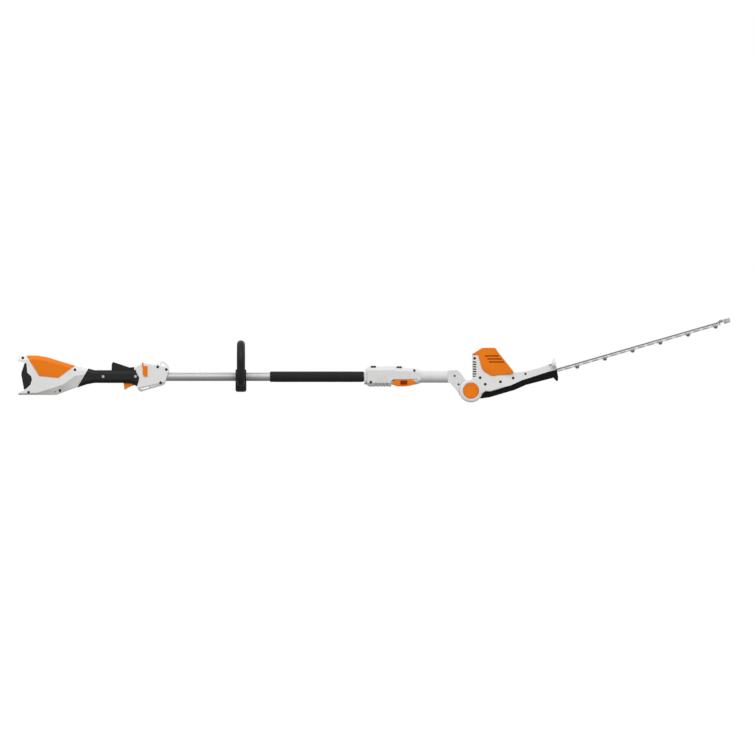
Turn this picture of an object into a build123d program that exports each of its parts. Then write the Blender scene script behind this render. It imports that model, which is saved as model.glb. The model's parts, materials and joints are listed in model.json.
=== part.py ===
from build123d import *
import math
import os

os.makedirs("parts", exist_ok=True)

# Frame: X runs along the shaft to the blade tip, Z is up, and the origin is on the
# shaft's axis at the middle of the loop handle.  The user's right hand side is -Y.

# Shaft
SHAFT_R = 12.5
SHAFT_WALL = 1.5
FRONT_TUBE_R = 17.5
FRONT_TUBE_WALL = 2.0
FIT = 0.08  # radial clearance of a running fit
SEAM = 0.3  # gap between two half shells
WALL = 2.5  # wall of the moulded shells

# Head: everything on it is drawn along u (blade) and w (up from the blade),
# then turned up by HEAD_ANGLE about the tilt pivot.  Its motor tower stands on the pivot side.
PIVOT_X, PIVOT_Z = 673.7, -40.5
HEAD_ANGLE = 16.1
HEAD = Pos(PIVOT_X, 0, PIVOT_Z) * Rot(0, -HEAD_ANGLE, 0)
BOSS_R = 34.6  # the head's two round cheeks
CHEEK_IN = 17.0
CHEEK_OUT = 31.5
TONGUE_R = 33.4  # the neck's disc between the cheeks
NECK_HALF = 28.0
PIVOT_R = 8.0
BUTTON_R = 23.0
BUTTON_GAP = 0.8
BUTTON_SEAT = 23.7  # |y| of the floor under the button and the cap
PLUNGER_R, PLUNGER_CIRCLE = 2.3, 14.0

# Cutting gear
TOOTH_PITCH = 28.0
TOOTH_COUNT = 17
TOOTH_START = 290.5
TOOTH_REACH = 33.0
SPINE_HALF = 10.5
BLADE_REAR = 73.0
BLADE_FRONT = 757.0
STROKE = 7.0
BAR_TOP, BAR_BOTTOM = -8.0, -12.0
UPPER_TOP, UPPER_BOTTOM = -12.2, -15.2
LOWER_TOP, LOWER_BOTTOM = -15.4, -18.4
BOLT_START, BOLT_STEP, BOLT_COUNT = 318.8, 84.5, 6
BOLT_HEAD_R = 5.6
TIP_RIVET_U, TIP_RIVET_R = 759.6, 2.2
MOTOR_U = 78.0
CRANK_U = 102.0
ECCENTRIC_R = 8.5
PINION_TEETH, GEAR_TEETH, MODULE = 12, 48, 0.76


# ---------------------------------------------------------------- helpers
def outline(points, radius=0.0):
    """A closed face through points, with rounded corners."""
    if radius:
        return make_face(FilletPolyline(*points, radius=radius, close=True))
    return make_face(Polyline(*points, close=True))


def slab(points, y_low, y_high, radius=0.0):
    """A side-view (X, Z) outline made solid from y_low to y_high."""
    return extrude(Plane.XZ.offset(-y_high) * outline(points, radius), y_high - y_low)


def plan(points, z_low, z_high, radius=0.0):
    """A plan-view (X, Y) outline made solid from z_low to z_high."""
    return extrude(Plane.XY.offset(z_low) * outline(points, radius), z_high - z_low)


def block(x, y, z):
    """A box from three (low, high) pairs."""
    size = [high - low for low, high in (x, y, z)]
    centre = [(high + low) / 2 for low, high in (x, y, z)]
    return Pos(*centre) * Box(*size)


def rod_x(radius, x_low, x_high, y=0.0, z=0.0):
    """A cylinder along X."""
    return Pos((x_low + x_high) / 2, y, z) * Rot(0, 90, 0) * Cylinder(radius, x_high - x_low)


def rod_y(x, z, radius, y_low, y_high):
    """A cylinder along Y."""
    return Pos(x, (y_low + y_high) / 2, z) * Rot(90, 0, 0) * Cylinder(radius, y_high - y_low)


def rod_z(x, y, radius, z_low, z_high):
    """A cylinder along Z."""
    return Pos(x, y, (z_low + z_high) / 2) * Cylinder(radius, z_high - z_low)


def tube_x(outer, inner, x_low, x_high):
    """A tube along the shaft's axis."""
    return rod_x(outer, x_low, x_high) - rod_x(inner, x_low - 1, x_high + 1)


def station(x, half, radius):
    """A rounded YZ section at x, from the (y, z) points of one half, bottom to top."""
    mirrored = [(-y, z) for y, z in reversed(half)]
    return Plane.YZ.offset(x) * outline(half + mirrored, radius)


def soft_rims(body, half_width, radius):
    """Round the outer edges of the two side faces at y = +-half_width."""
    rims = [e for e in body.edges() if abs(abs(e.center().Y) - half_width) < 0.001]
    return fillet(rims, radius)


def soft_disc(disc, radius):
    """Round both rims of a disc whose axis is along Y."""
    return fillet(disc.edges().filter_by(GeomType.CIRCLE), radius)


def y_pair(side, near, far):
    """The (low, high) Y limits between two distances on one side of the middle."""
    return sorted((side * near, side * far))


def halves(body):
    """The right (-Y) and left (+Y) half shells, a seam apart."""
    right = split(body, Plane.XZ.offset(SEAM / 2), keep=Keep.TOP)
    left = split(body, Plane.XZ.offset(-SEAM / 2), keep=Keep.BOTTOM)
    return right, left


def screw(x, z, face, tip, head_r=4.0, shank_r=1.8):
    """A socket screw along Y, its head at y = -face and its tip at y = tip."""
    head = rod_y(x, z, head_r, -face - 0.4, -face + 3)
    shank = rod_y(x, z, shank_r, -face + 2, tip)
    socket = extrude(Plane.XZ.offset(face + 0.4) * Pos(x, z) * RegularPolygon(2.2, 6), -2.0)
    return head + shank - socket


def screw_hole(x, z, face, tip, head_r=4.0, shank_r=1.8):
    """The counterbored hole that screw() sits in."""
    head = rod_y(x, z, head_r + 0.15, -face - 6, -face + 3.1)
    return head + rod_y(x, z, shank_r + 0.1, -face + 2, tip + 0.3)


def bosses(places, radius, reach):
    """Rods along Y through every screw place."""
    return joined([rod_y(place[0], place[1], radius, -reach, reach) for place in places])


def joined(parts):
    """All parts in one object."""
    total = parts[0]
    for part in parts[1:]:
        total = total + part
    return total


def save(name, shape):
    export_step(shape, f"parts/{name}.step")


# ---------------------------------------------------------------- battery housing
# x, then the half section's bottom, flank, shoulder and top corners as (y, z)
BATTERY_STATIONS = [
    (-651.0, (38, -53.3), (44, -50.0), (43, 50), (34, 61.0)),
    (-595.0, (36, -53.3), (44, -47.0), (43, 50), (34, 60.8)),
    (-565.5, (31, -53.3), (43, -37.5), (41.5, 44), (32, 55.4)),
    (-541.5, (27, -53.3), (41, -29.9), (39, 37), (29, 47.7)),
    (-521.0, (22, -45.5), (37, -23.4), (35, 31), (26, 41.4)),
    (-485.0, (15, -32.0), (27, 3.0), (25, 20), (18, 30.7)),
    (-440.0, (10, -20.0), (18, 8.0), (17, 16), (12, 23.0)),
]
LATCH_OUTLINE = [
    (-632.7, 40.0),
    (-641.4, 13.8),
    (-642.3, 4.7),
    (-634.3, -38.4),
    (-625.0, -31.0),
    (-616.0, -22.6),
    (-611.8, -7.9),
    (-614.7, 1.5),
    (-625.6, 11.7),
    (-627.6, 37.5),
]
LATCH_PIVOT_X, LATCH_PIVOT_Y = -606.0, 38.4
LATCH_ROOM_Y = 41.3  # the barrels turn inside this; the side wall stays outside it
GRIP_SEAM_TOP, GRIP_SEAM_BOTTOM = (-446.5, 24.3), (-478.7, -31.0)
BATTERY_SCREWS = [
    (-637.9, 55.0, 38.5),
    (-620.9, -45.5, 43.6),
    (-529.5, -40.3, 28.0),
    (-485.8, 20.5, 24.5),
]
DRAIN_HOLE = (-543.5, -44.3, 1.9)
BAY_HALF = [(24, -41), (33.5, -31), (33.5, 33), (26, 40)]
BAY_MOUTH_X, BAY_DEPTH_X = -630.5, -556.0


def battery_loft(grow=0.0):
    """The housing's outer form, grown outwards by an amount (negative for inwards)."""
    sections = []
    for x, bottom, flank, shoulder, top in BATTERY_STATIONS:
        half = [
            (bottom[0] + grow, bottom[1] - grow),
            (flank[0] + grow, flank[1] - grow),
            (shoulder[0] + grow, shoulder[1] + grow),
            (top[0] + grow, top[1] + grow),
        ]
        sections.append(station(x, half, 4))
    return loft(sections, ruled=True)


def in_front_of_grip_seam(gap=0.0):
    """Everything in front of the slanted line where the housing meets the grip."""
    (top_x, top_z), (bottom_x, bottom_z) = GRIP_SEAM_TOP, GRIP_SEAM_BOTTOM
    reach_x = (top_x - bottom_x) / 2
    reach_z = (top_z - bottom_z) / 2
    points = [
        (top_x + reach_x + gap, top_z + reach_z),
        (bottom_x - reach_x + gap, bottom_z - reach_z),
        (-200, bottom_z - reach_z),
        (-200, top_z + reach_z),
    ]
    return slab(points, -60, 60)


def latch_cutout():
    """The notch in both side walls that the battery latches fill, open to the rear."""
    points = [
        (-660, 45.0),
        (-648, 45.0),
        (-627.0, 39.2),
        (-624.9, 12.0),
        (-613.9, 2.0),
        (-611.0, -8.1),
        (-615.4, -23.3),
        (-625.0, -32.2),
        (-634.8, -40.0),
        (-650, -47.5),
        (-660, -47.5),
    ]
    return slab(points, -50, 50)


def battery_housing():
    """Hollow shell with the latch notches, latch pivots and screw bosses."""
    outer = battery_loft() - in_front_of_grip_seam()
    cavity = battery_loft(-WALL)
    body = outer - cavity
    body = body + (bosses(BATTERY_SCREWS, 5.5, 60) & outer)
    body = body - latch_cutout()
    body = body - block((-660, -556), (-36.5, 36.5), (-44, 43))
    body = body - block((-645.5, -600), (-LATCH_ROOM_Y, LATCH_ROOM_Y), (-12, 2))
    for side in (-1, 1):
        for z_low, z_high in ((3.4, 7.0), (-17.0, -13.4)):
            body = body + block((-609, -603), y_pair(side, 36.8, 42.2), (z_low, z_high))
        body = body - rod_z(LATCH_PIVOT_X, side * LATCH_PIVOT_Y, 1.3, -18, 8)
    for place in BATTERY_SCREWS:
        body = body - screw_hole(*place, 12)
    drain_x, drain_z, drain_r = DRAIN_HOLE
    return body - rod_y(drain_x, drain_z, drain_r, -60, -20)


def battery_cover():
    """Coloured skin over the top and both flanks."""
    points = [(-635, 75), (-590, 2.6), (-534, -3.5), (-479, 37.5), (-479, 75)]
    skin = battery_loft(1.3) - battery_loft(0.1)
    return skin & slab(points, -60, 60)


def battery_guide():
    """Liner that the battery slides into, with a flange behind the rear opening."""
    wall = [(y + 2, z + (2 if z > 0 else -2)) for y, z in BAY_HALF]
    outer = extrude(station(BAY_MOUTH_X, wall, 3), BAY_DEPTH_X + 3 - BAY_MOUTH_X)
    bay = extrude(station(-660, BAY_HALF, 2.5), BAY_DEPTH_X + 660)
    flange = battery_loft(-WALL - 0.2) & block((BAY_MOUTH_X, BAY_MOUTH_X + 3), (-60, 60), (-60, 60))
    for side in (-1, 1):
        flange = flange - block((-650, -600), y_pair(side, 34.2, 60), (-42, 46))
        outer = outer - block((-650, -604), y_pair(side, 31.5, 60), (-36, 37))
        outer = outer - block((-605, -586), y_pair(side, 30, 60), (-15, 5))
    return outer + flange - bay - block((-560, -545), (-17, 17), (-12, 12))


def latch(side):
    """Battery latch: a pad in the notch, a pivot barrel and a hooked arm inside."""
    pad = slab(LATCH_OUTLINE, 37.3, 43.4, 1.0)
    pad = fillet([e for e in pad.edges() if abs(e.center().Y - 43.4) < 0.001], 0.9)
    arm = block((-622, -592), (36.2, 39.2), (-11, 1)) + rod_z(LATCH_PIVOT_X, LATCH_PIVOT_Y, 2.3, -13, 3)
    hook = plan([(-594.5, 39.2), (-594.5, 32.0), (-592.5, 32.0), (-588.5, 36.4), (-588.5, 39.2)], -11, 1)
    body = pad + arm + hook - rod_z(LATCH_PIVOT_X, LATCH_PIVOT_Y, 1.2 + FIT, -20, 10)
    return body if side > 0 else mirror(body, Plane.XZ)


def contact_parts():
    """Plastic contact block at the bay's front wall, and its brass blades."""
    carrier = block((-556, -545), (-16.8, 16.8), (-11.8, 11.8))
    blades = [block((-574, -550), (y - 0.6, y + 0.6), (-8, 8)) for y in (-11, 0, 11)]
    return carrier - joined(blades), joined(blades)


def control_board():
    """Circuit board in front of the bay with its capacitors and heat sink."""
    board = block((-541, -499), (-19, 19), (-8, -6.4))
    parts = [rod_z(x, y, 5, -6.4, 9) for x, y in ((-532, -8), (-532, 8))]
    return joined([board, block((-520, -504), (-12, 12), (-6.4, 3))] + parts)


# ---------------------------------------------------------------- rear grip
GRIP_STATIONS = [
    (-490.0, [(13, -35.5), (21, -24), (21, 18), (13, 30)]),
    (-451.5, [(11, -22.3), (18.5, -14), (18.5, 15), (11, 25.6)]),
    (-429.0, [(10, -18.3), (17, -9), (17, 10), (10, 19.3)]),
    (-345.0, [(10, -18.5), (17, -9), (17, 10), (10, 19.3)]),
    (-320.0, [(10, -19.6), (17.3, -10), (17.3, 10), (10, 19.6)]),
    (-304.0, [(11, -29.0), (18, -16), (18, 11), (11, 21.0)]),
    (-290.0, [(11, -34.0), (18.5, -20), (18.5, 12), (11, 22.0)]),
]
GRIP_FRONT = [(-311.8, 27.5), (-303.5, 6.4), (-298.0, -2.6), (-299.5, -13.8), (-304.7, -28.7)]
GRIP_SCREWS = [(-403.5, 0.6), (-308.8, 0.9)]
TRIGGER_PIVOT = (-316.0, -10.5)
LOCKOUT_PIVOT = (-319.0, 14.0)
GRIP_PIN_HALF = 12.0
TRIGGER_HALF = 6.0
LOCKOUT_HALF = 7.0


def grip_loft(grow=0.0):
    """The grip's outer form, grown outwards by an amount."""
    sections = []
    for x, half in GRIP_STATIONS:
        moved = [(y + grow, z + (grow if i > 1 else -grow)) for i, (y, z) in enumerate(half)]
        sections.append(station(x, moved, 5))
    return loft(sections, ruled=True)


def behind_grip_front(gap=0.0):
    """Everything behind the bent line where the grip meets the front housing."""
    line = [(x - gap, z) for x, z in GRIP_FRONT]
    points = [(-315.5, 40)] + line + [(-308, -45), (-520, -45), (-520, 40)]
    return slab(points, -60, 60)


def grip():
    """Hollow hand grip with the slots for the trigger and the lockout lever."""
    outer = (grip_loft() & in_front_of_grip_seam(0.2)) & behind_grip_front(0.2)
    body = outer - grip_loft(-WALL)
    body = body + (bosses(GRIP_SCREWS, 5, 30) & outer)
    for x, z in (TRIGGER_PIVOT, LOCKOUT_PIVOT):
        for low, high in ((-15.5, -8.2), (8.2, 15.5)):
            body = body + (rod_y(x, z, 4, low, high) & outer)
    body = body - block((-346.5, -306), (-TRIGGER_HALF - 0.5, TRIGGER_HALF + 0.5), (-40, -8.5))
    body = body - block((-381, -300), (-LOCKOUT_HALF - 0.5, LOCKOUT_HALF + 0.5), (9.0, 40))
    for x, z in (TRIGGER_PIVOT, LOCKOUT_PIVOT):
        body = body - rod_y(x, z, 2.05, -GRIP_PIN_HALF - 0.2, GRIP_PIN_HALF + 0.2)
    for x, z in GRIP_SCREWS:
        body = body - screw_hole(x, z, 16.6, 10)
    return body


def trigger():
    """Speed trigger, hinged at its front upper corner."""
    points = [
        (-344.6, -15.0),
        (-341.0, -39.6),
        (-335.0, -35.0),
        (-321.7, -27.8),
        (-312.0, -25.0),
        (-311.0, -12.0),
        (-316.0, -6.5),
        (-322.0, -8.0),
        (-328.0, -13.0),
    ]
    body = slab(points, -TRIGGER_HALF, TRIGGER_HALF, 1.2)
    body = soft_rims(body, TRIGGER_HALF, 1.0)
    return body - rod_y(*TRIGGER_PIVOT, 2 + FIT, -20, 20)


def lockout_lever():
    """Wedge-shaped lockout lever on top of the grip, hinged at its front."""
    points = [
        (-379.4, 14.5),
        (-378.6, 37.5),
        (-374.6, 43.4),
        (-326.6, 27.2),
        (-313.0, 28.6),
        (-312.5, 14.0),
        (-319.0, 10.0),
        (-325.0, 12.5),
    ]
    body = slab(points, -LOCKOUT_HALF, LOCKOUT_HALF, 1.2)
    body = soft_rims(body, LOCKOUT_HALF, 1.0)
    return body - rod_y(*LOCKOUT_PIVOT, 2 + FIT, -20, 20)


def trigger_switch():
    """Switch module behind the trigger."""
    body = block((-372, -332), (-7, 7), (-7, 5)) + block((-366, -338), (-5, 5), (-9, -7))
    return body + rod_y(-352, 0, 3, -9, 9)


# ---------------------------------------------------------------- front housing
FRONT_OUTLINE = [
    (-311.8, 27.5),
    (-290.0, 39.0),
    (-266.0, 38.7),
    (-256.0, 34.0),
    (-244.0, 38.6),
    (-233.0, 33.0),
    (-219.0, 31.0),
    (-209.8, 22.6),
    (-216.8, -1.5),
    (-223.0, -21.0),
    (-227.4, -24.5),
    (-284.0, -41.0),
    (-293.6, -44.8),
    (-301.5, -37.5),
    (-304.7, -28.7),
    (-299.5, -13.8),
    (-298.0, -2.6),
    (-303.5, 6.4),
]
FRONT_HALF = 22.0
FRONT_SCREWS = [(-243.5, 28.4, 21.4), (-218.3, 21.1, 21.6), (-235.0, -17.5, 21.0)]
EYELET = (-229.0, 34.6)
EYELET_R, EYELET_HOLE_R = 10.5, 4.75
FRONT_FACETS = [
    (-320.0, [(14, -50.0), (22, -36.0), (22, 60)]),
    (-200.0, [(14, -22.0), (22, -10.0), (22, 60)]),
]


def front_housing():
    """Shell that joins the grip to the shaft and carries the release slide."""
    outer = soft_rims(slab(FRONT_OUTLINE, -FRONT_HALF, FRONT_HALF, 1.6), FRONT_HALF, 3.0)
    outer = outer & loft([station(x, half, 3) for x, half in FRONT_FACETS], ruled=True)
    inner = [
        (-306.0, 24.0),
        (-289.0, 33.5),
        (-262.0, 33.5),
        (-232.0, 29.5),
        (-216.0, 20.0),
        (-222.0, -17.0),
        (-284.0, -36.5),
        (-296.0, -36.5),
        (-300.5, -27.0),
        (-294.5, -2.6),
    ]
    body = outer - slab(inner, -FRONT_HALF + WALL, FRONT_HALF - WALL)
    body = body + (rod_x(SHAFT_R + 4, -236, -200) & outer)
    body = body + (block((-268, -264), (-40, 40), (-60, 60)) & outer)
    body = body + (bosses(FRONT_SCREWS, 5, 30) & outer)
    body = body - rod_x(SHAFT_R + 0.05, -276, -200)
    body = body - slab([(-243, 12), (-243, 60), (-205, 60), (-205, 12)], -4.1, 4.1)
    body = body - block((-290.5, -269.0), (-5.5, 5.5), (30, 45))
    body = body - rod_y(*EYELET, EYELET_HOLE_R + 1.0, -40, 40)
    for place in FRONT_SCREWS:
        body = body - screw_hole(*place, 12)
    return body


def strap_eyelet():
    """Carrying-strap lug clamped between the two front shells."""
    lobe = rod_y(*EYELET, EYELET_R, -4, 4)
    points = [
        (-239.0, 31.0),
        (-237.5, 17.0),
        (-224.0, 15.2),
        (-213.0, 15.2),
        (-209.2, 23.0),
        (-210.4, 28.5),
        (-215.2, 35.8),
        (-221.0, 41.2),
    ]
    root = slab(points, -4, 4)
    body = soft_rims(lobe, 4, 0.8) + root - rod_y(*EYELET, EYELET_HOLE_R, -10, 10)
    return body - rod_y(-218.3, 21.1, 5.6, -10, 10)


def release_slide():
    """Saddle-shaped slide over the front housing with a raised finger ridge."""
    strap = slab([(-289.8, 41.3), (-286.0, 41.3), (-281.5, 3.0), (-284.6, 3.0)], -24.4, 24.4)
    strap = strap - block((-295, -275), (-22.3, 22.3), (0, 39.3))
    side = block((-284.8, -273.4), (22.3, 24.6), (1, 31.6))
    link = block((-287, -284), (22.3, 24.0), (8, 30))
    stem = block((-288.4, -282.4), (-4.8, 4.8), (31.5, 40.5))
    return strap + side + link + mirror(side, Plane.XZ) + mirror(link, Plane.XZ) + stem


# ---------------------------------------------------------------- shaft and loop handle
CLAMP_HALF = 15.7  # half the clamp's length along the shaft
CLAMP_TOP, CLAMP_BOTTOM = 22.0, -44.5


def clamp_profile(radius):
    """Side view of the whole clamp, with rounded corners."""
    top, bottom = CLAMP_TOP, CLAMP_BOTTOM
    points = [(-CLAMP_HALF, bottom), (CLAMP_HALF, bottom), (CLAMP_HALF, top), (-CLAMP_HALF, top)]
    return slab(points, -40, 40, radius)


def loop_handle():
    """Closed loop handle with the lower half of its clamp."""
    half = [(16, -29), (64, -12), (76, 58), (48, 95.4)]
    path = FilletPolyline(*(half + [(-y, z) for y, z in reversed(half)]), radius=[20, 34, 26, 26, 34, 20])
    wire = Plane.YZ * path
    start = Plane(origin=wire @ 0, z_dir=wire % 0)
    loop = sweep(start * Circle(11.3), path=wire)
    lower = [(11, -44.5), (30, -38), (30, -0.4)]
    clamp = extrude(station(-CLAMP_HALF, lower, 3), 2 * CLAMP_HALF) & clamp_profile(6.5)
    body = loop + clamp - rod_x(SHAFT_R + 0.05, -30, 30)
    for side in (-1, 1):
        body = body - rod_z(0, side * 22, 2.6, -34, 30)
    return body - block((-30, 30), (-31, 31), (-0.3, 23))


def loop_clamp():
    """Upper half of the loop handle's clamp."""
    upper = [(30, 0.4), (30, 10), (13, 22)]
    body = extrude(station(-CLAMP_HALF, upper, 2), 2 * CLAMP_HALF) & clamp_profile(4.0)
    body = body - rod_x(SHAFT_R + 0.05, -30, 30)
    for side in (-1, 1):
        body = body - rod_z(0, side * 22, 2.6, -5, 30) - rod_z(0, side * 22, 4.7, 10, 30)
    return body


def loop_screws():
    """The two clamp screws."""
    bodies = []
    for side in (-1, 1):
        head = rod_z(0, side * 22, 4.5, 10, 14.5)
        socket = Pos(0, side * 22, 12.4) * extrude(RegularPolygon(2.4, 6), 4)
        bodies.append(head + rod_z(0, side * 22, 2.5, -33.8, 10) - socket)
    return joined(bodies)


# ---------------------------------------------------------------- coupling
BORE_START = 402.0
LEVER_PIVOT = (449.0, -18.4)
LEVER_PIN_R, LEVER_PIN_HALF = 2.5, 21.2
COUPLING_STATIONS = [
    (370.0, [(13, -26.0), (21.5, -17), (21.5, 18), (13, 27.0)]),
    (376.0, [(13, -29.0), (23, -18), (23, 20), (13, 30.8)]),
    (450.0, [(13, -29.0), (23, -18), (23, 20), (13, 30.8)]),
    (456.0, [(13, -29.0), (22.6, -18), (22.6, 18), (13, 28.4)]),
    (494.0, [(12, -27.5), (21.5, -17), (21.5, 17), (12, 26.2)]),
]
COUPLING_SCREW = (380.6, -15.9, 22.6)
COUPLING_FAR_SCREW = (418.0, 20.0, 21.3)  # this one enters from the left


def coupling_loft(grow=0.0):
    """The coupling's outer form, grown outwards by an amount."""
    sections = []
    for x, half in COUPLING_STATIONS:
        moved = [(y + grow, z + (grow if i > 1 else -grow)) for i, (y, z) in enumerate(half)]
        sections.append(station(x, moved, 5))
    return loft(sections, ruled=True)


def lever_recess():
    """Space under the coupling for the clamp lever: all but a narrower core."""
    zone = slab([(440.4, -13.0), (446, -8.0), (530, -6.2), (530, -40), (440.4, -40)], -40, 40)
    core = block((400, 540), (-18.3, 18.3), (-23.5, 10))
    return zone - core


def coupling():
    """Two-part coupling body with ribs, pads' seats and the lever recess."""
    rear = station(362, [(12, -20), (18.5, -12), (18.5, 14), (12, 23.5)], 4)
    outer = coupling_loft() + extrude(rear, 9)
    outer = outer + block((361, 372), (-7, 7), (-23, -17.6))
    ribs = joined([block((x, x + 4), (-40, 40), (-40, 40)) for x in (362, 376, 400, 432, 488)])
    cavity = coupling_loft(-WALL) - ribs
    body = outer - (cavity & block((374, 491), (-40, 40), (-40, 40)))
    sleeve = rod_x(SHAFT_R + 3.5, 374, 490) + block((434, 492), (-18.3, 18.3), (-23.5, -12))
    body = body + sleeve - lever_recess()
    for x in (398, 405, 412, 419, 426):
        for side in (-1, 1):
            body = body + block((x, x + 3), y_pair(side, 21.5, 23.6), (-15, 2))
    grooves = joined([block((x, x + 4.5), (-40, 40), (-40, -18.5)) for x in (393, 404, 415, 426)])
    body = body - (grooves - coupling_loft(-1.3))
    body = body + (bosses((COUPLING_SCREW, COUPLING_FAR_SCREW), 5.5, 40) & outer)
    body = body - rod_x(SHAFT_R + 0.05, 350, BORE_START) - rod_x(SHAFT_R + FIT, BORE_START - 1, 500)
    for x_low, x_high in ((380.6, 395.6), (456.0, 471.4)):
        body = body - block((x_low - 0.2, x_high + 0.2), (-17.2, 17.2), (25.6, 40))
    body = body - screw_hole(*COUPLING_SCREW, 12)
    body = body - mirror(screw_hole(*COUPLING_FAR_SCREW, 12), Plane.XZ)
    return body - rod_y(*LEVER_PIVOT, LEVER_PIN_R + 0.05, -30, 30)


def coupling_pads():
    """Two dark pads let into the top of the coupling."""
    pads = []
    for x_low, x_high, top in ((380.6, 395.6, 32.0), (456.0, 471.4, 30.6)):
        pad = extrude(station(x_low, [(17, 25.8), (17, 28.0), (13, top)], 0.8), x_high - x_low)
        pads.append(pad)
    return joined(pads)


def clamp_lever():
    """U-shaped clamp lever that wraps the coupling's underside."""
    points = [
        (442.2, -18.0),
        (444.6, -13.0),
        (452.0, -9.8),
        (466.0, -8.4),
        (498.0, -8.4),
        (508.5, -11.4),
        (513.2, -16.4),
        (509.0, -22.0),
        (498.0, -26.0),
        (478.0, -28.6),
        (458.0, -28.4),
        (446.0, -24.0),
    ]
    body = soft_rims(slab(points, -23.5, 23.5, 1.5), 23.5, 2.0)
    body = body - block((400, 540), (-18.9, 18.9), (-25.6, 10))
    body = body - block((400, 454), (-18.9, 18.9), (-40, 10))
    body = body - block((469.5, 485.5), (-30, -18), (-20.4, -13.6))
    return body - rod_y(*LEVER_PIVOT, LEVER_PIN_R + FIT, -LEVER_PIN_HALF - 0.2, LEVER_PIN_HALF + 0.2)


def lever_lock():
    """Locking slide in the lever's right cheek."""
    pad = slab([(467, -10.8), (487, -10.8), (487, -22.4), (467, -22.4)], -25.2, -23.7, 1.0)
    stem = block((470, 481), (-24, -19.4), (-20, -14))
    ridges = [block((x, x + 1.2), (-26, -25.1), (-21.4, -11.8)) for x in (471, 475, 479, 483)]
    return joined([pad, stem] + ridges)


def coupling_socket():
    """Electrical socket that ends the rear shaft inside the coupling."""
    body = rod_x(10.9, 386, 410) + rod_x(12.3, 403, 407)
    for angle in (0, 120, 240):
        y = 6 * math.cos(math.radians(angle))
        z = 6 * math.sin(math.radians(angle))
        body = body - rod_x(1.6, 398, 420, y, z)
    return body - rod_x(3.6, 380, 396)


# ---------------------------------------------------------------- front shaft
COLLAR_STATIONS = [
    (494.4, [(12, -24.0), (21.5, -15), (21.5, 17), (12, 26.0)]),
    (515.0, [(12, -22.5), (20.5, -13), (20.5, 15), (12, 24.5)]),
    (526.0, [(10, -18.6), (18.6, -9), (18.6, 9), (10, 18.6)]),
]
COLLAR_SCREW = (508.0, 18.2, 20.2)
NECK_OUTLINE = [
    (606.0, 18.6),
    (635.5, 18.6),
    (646.4, 7.6),
    (656.0, -7.0),
    (674.0, -20.0),
    (674.0, -60.0),
    (650.8, -65.6),
    (639.3, -51.3),
    (628.2, -35.7),
    (613.5, -18.8),
    (606.0, -18.6),
]
NECK_SCREWS = [(626.0, 2.3, 22.4), (637.4, -22.4, 25.6)]
NECK_SCREW_HEAD_R = 3.2


def front_collar():
    """Collar at the rear end of the front shaft."""
    sections = [station(x, half, 4) for x, half in COLLAR_STATIONS]
    body = loft(sections, ruled=True)
    recess = slab([(480, -6.2), (516.5, -6.2), (516.5, -40), (480, -40)], -40, 40)
    recess = recess - block((480, 540), (-18.0, 18.0), (-23.0, 10))
    body = body - recess - rod_x(SHAFT_R + 0.05, 490, 504) - rod_x(FRONT_TUBE_R + 0.05, 503, 540)
    return body - screw_hole(*COLLAR_SCREW, -14)


def spigot_tube():
    """Aluminium spigot that slides into the coupling."""
    return tube_x(SHAFT_R, SHAFT_R - SHAFT_WALL, 414, 506)


def shaft_lead():
    """Electrical plug at the spigot's rear end, moulded onto the front shaft's lead."""
    body = rod_x(SHAFT_R - SHAFT_WALL, 415, 426) + rod_x(3.0, 420, 600)
    for angle in (0, 120, 240):
        y = 6 * math.cos(math.radians(angle))
        z = 6 * math.sin(math.radians(angle))
        body = body + rod_x(1.2, 411.5, 415, y, z)
    return body


def neck():
    """Angled neck with the disc that turns between the head's cheeks."""
    arm = soft_rims(slab(NECK_OUTLINE, -NECK_HALF, NECK_HALF, 3.0), NECK_HALF, 2.5)
    edge = [(605, 20.5), (618, 21.5), (645, NECK_HALF), (760, NECK_HALF)]
    taper = plan(edge + [(x, -y) for x, y in reversed(edge)], -100, 60)
    outer = arm & taper
    for side in (-1, 1):
        outer = outer - rod_y(PIVOT_X, PIVOT_Z, BOSS_R + 0.6, *y_pair(side, CHEEK_IN - 0.5, 60))
    outer = outer + rod_y(PIVOT_X, PIVOT_Z, TONGUE_R, -CHEEK_IN + 0.5, CHEEK_IN - 0.5)
    room = [(612, 15), (634, 15), (642, 5), (650, -8), (636, -44), (629, -33), (615, -16)]
    cavity = slab(room, -17.5, 17.5)
    body = outer - (cavity - rod_y(PIVOT_X, PIVOT_Z, 39.5, -40, 40))
    body = body + (tube_x(FRONT_TUBE_R + 2.0, FRONT_TUBE_R, 606, 634) & outer)
    body = body + (bosses(NECK_SCREWS, 5, 40) & outer)
    body = body - rod_x(FRONT_TUBE_R + 0.05, 600, 622.5)
    for place in NECK_SCREWS:
        body = body - screw_hole(*place, 12, NECK_SCREW_HEAD_R)
    return body - rod_y(PIVOT_X, PIVOT_Z, PIVOT_R + FIT, -30, 30)


def plungers(radius, y_low, y_high):
    """Three rods along Y on the tilt button's plunger circle, about the pivot."""
    rods = []
    for angle in (90, 210, 330):
        u = PLUNGER_CIRCLE * math.cos(math.radians(angle))
        w = PLUNGER_CIRCLE * math.sin(math.radians(angle))
        rods.append(rod_y(u, w, radius, y_low, y_high))
    return joined(rods)


def pivot_axle():
    """Hollow axle through both cheeks, flanged under the left cap."""
    body = rod_y(0, 0, PIVOT_R, -BUTTON_SEAT + 0.1, BUTTON_SEAT + 3.4)
    body = body + rod_y(0, 0, 12, BUTTON_SEAT + 0.1, BUTTON_SEAT + 3.4)
    return body - rod_y(0, 0, 5, -30, 40)


def tilt_button():
    """Round release button of the tilt lock, with its three plungers."""
    disc = rod_y(0, 0, BUTTON_R, -33.2, -28.2)
    disc = fillet([e for e in disc.edges() if e.center().Y < -33], 1.6)
    return disc - rod_y(0, 0, 16.5, -34, -32.4) + plungers(PLUNGER_R, -29, -24.6)


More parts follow.
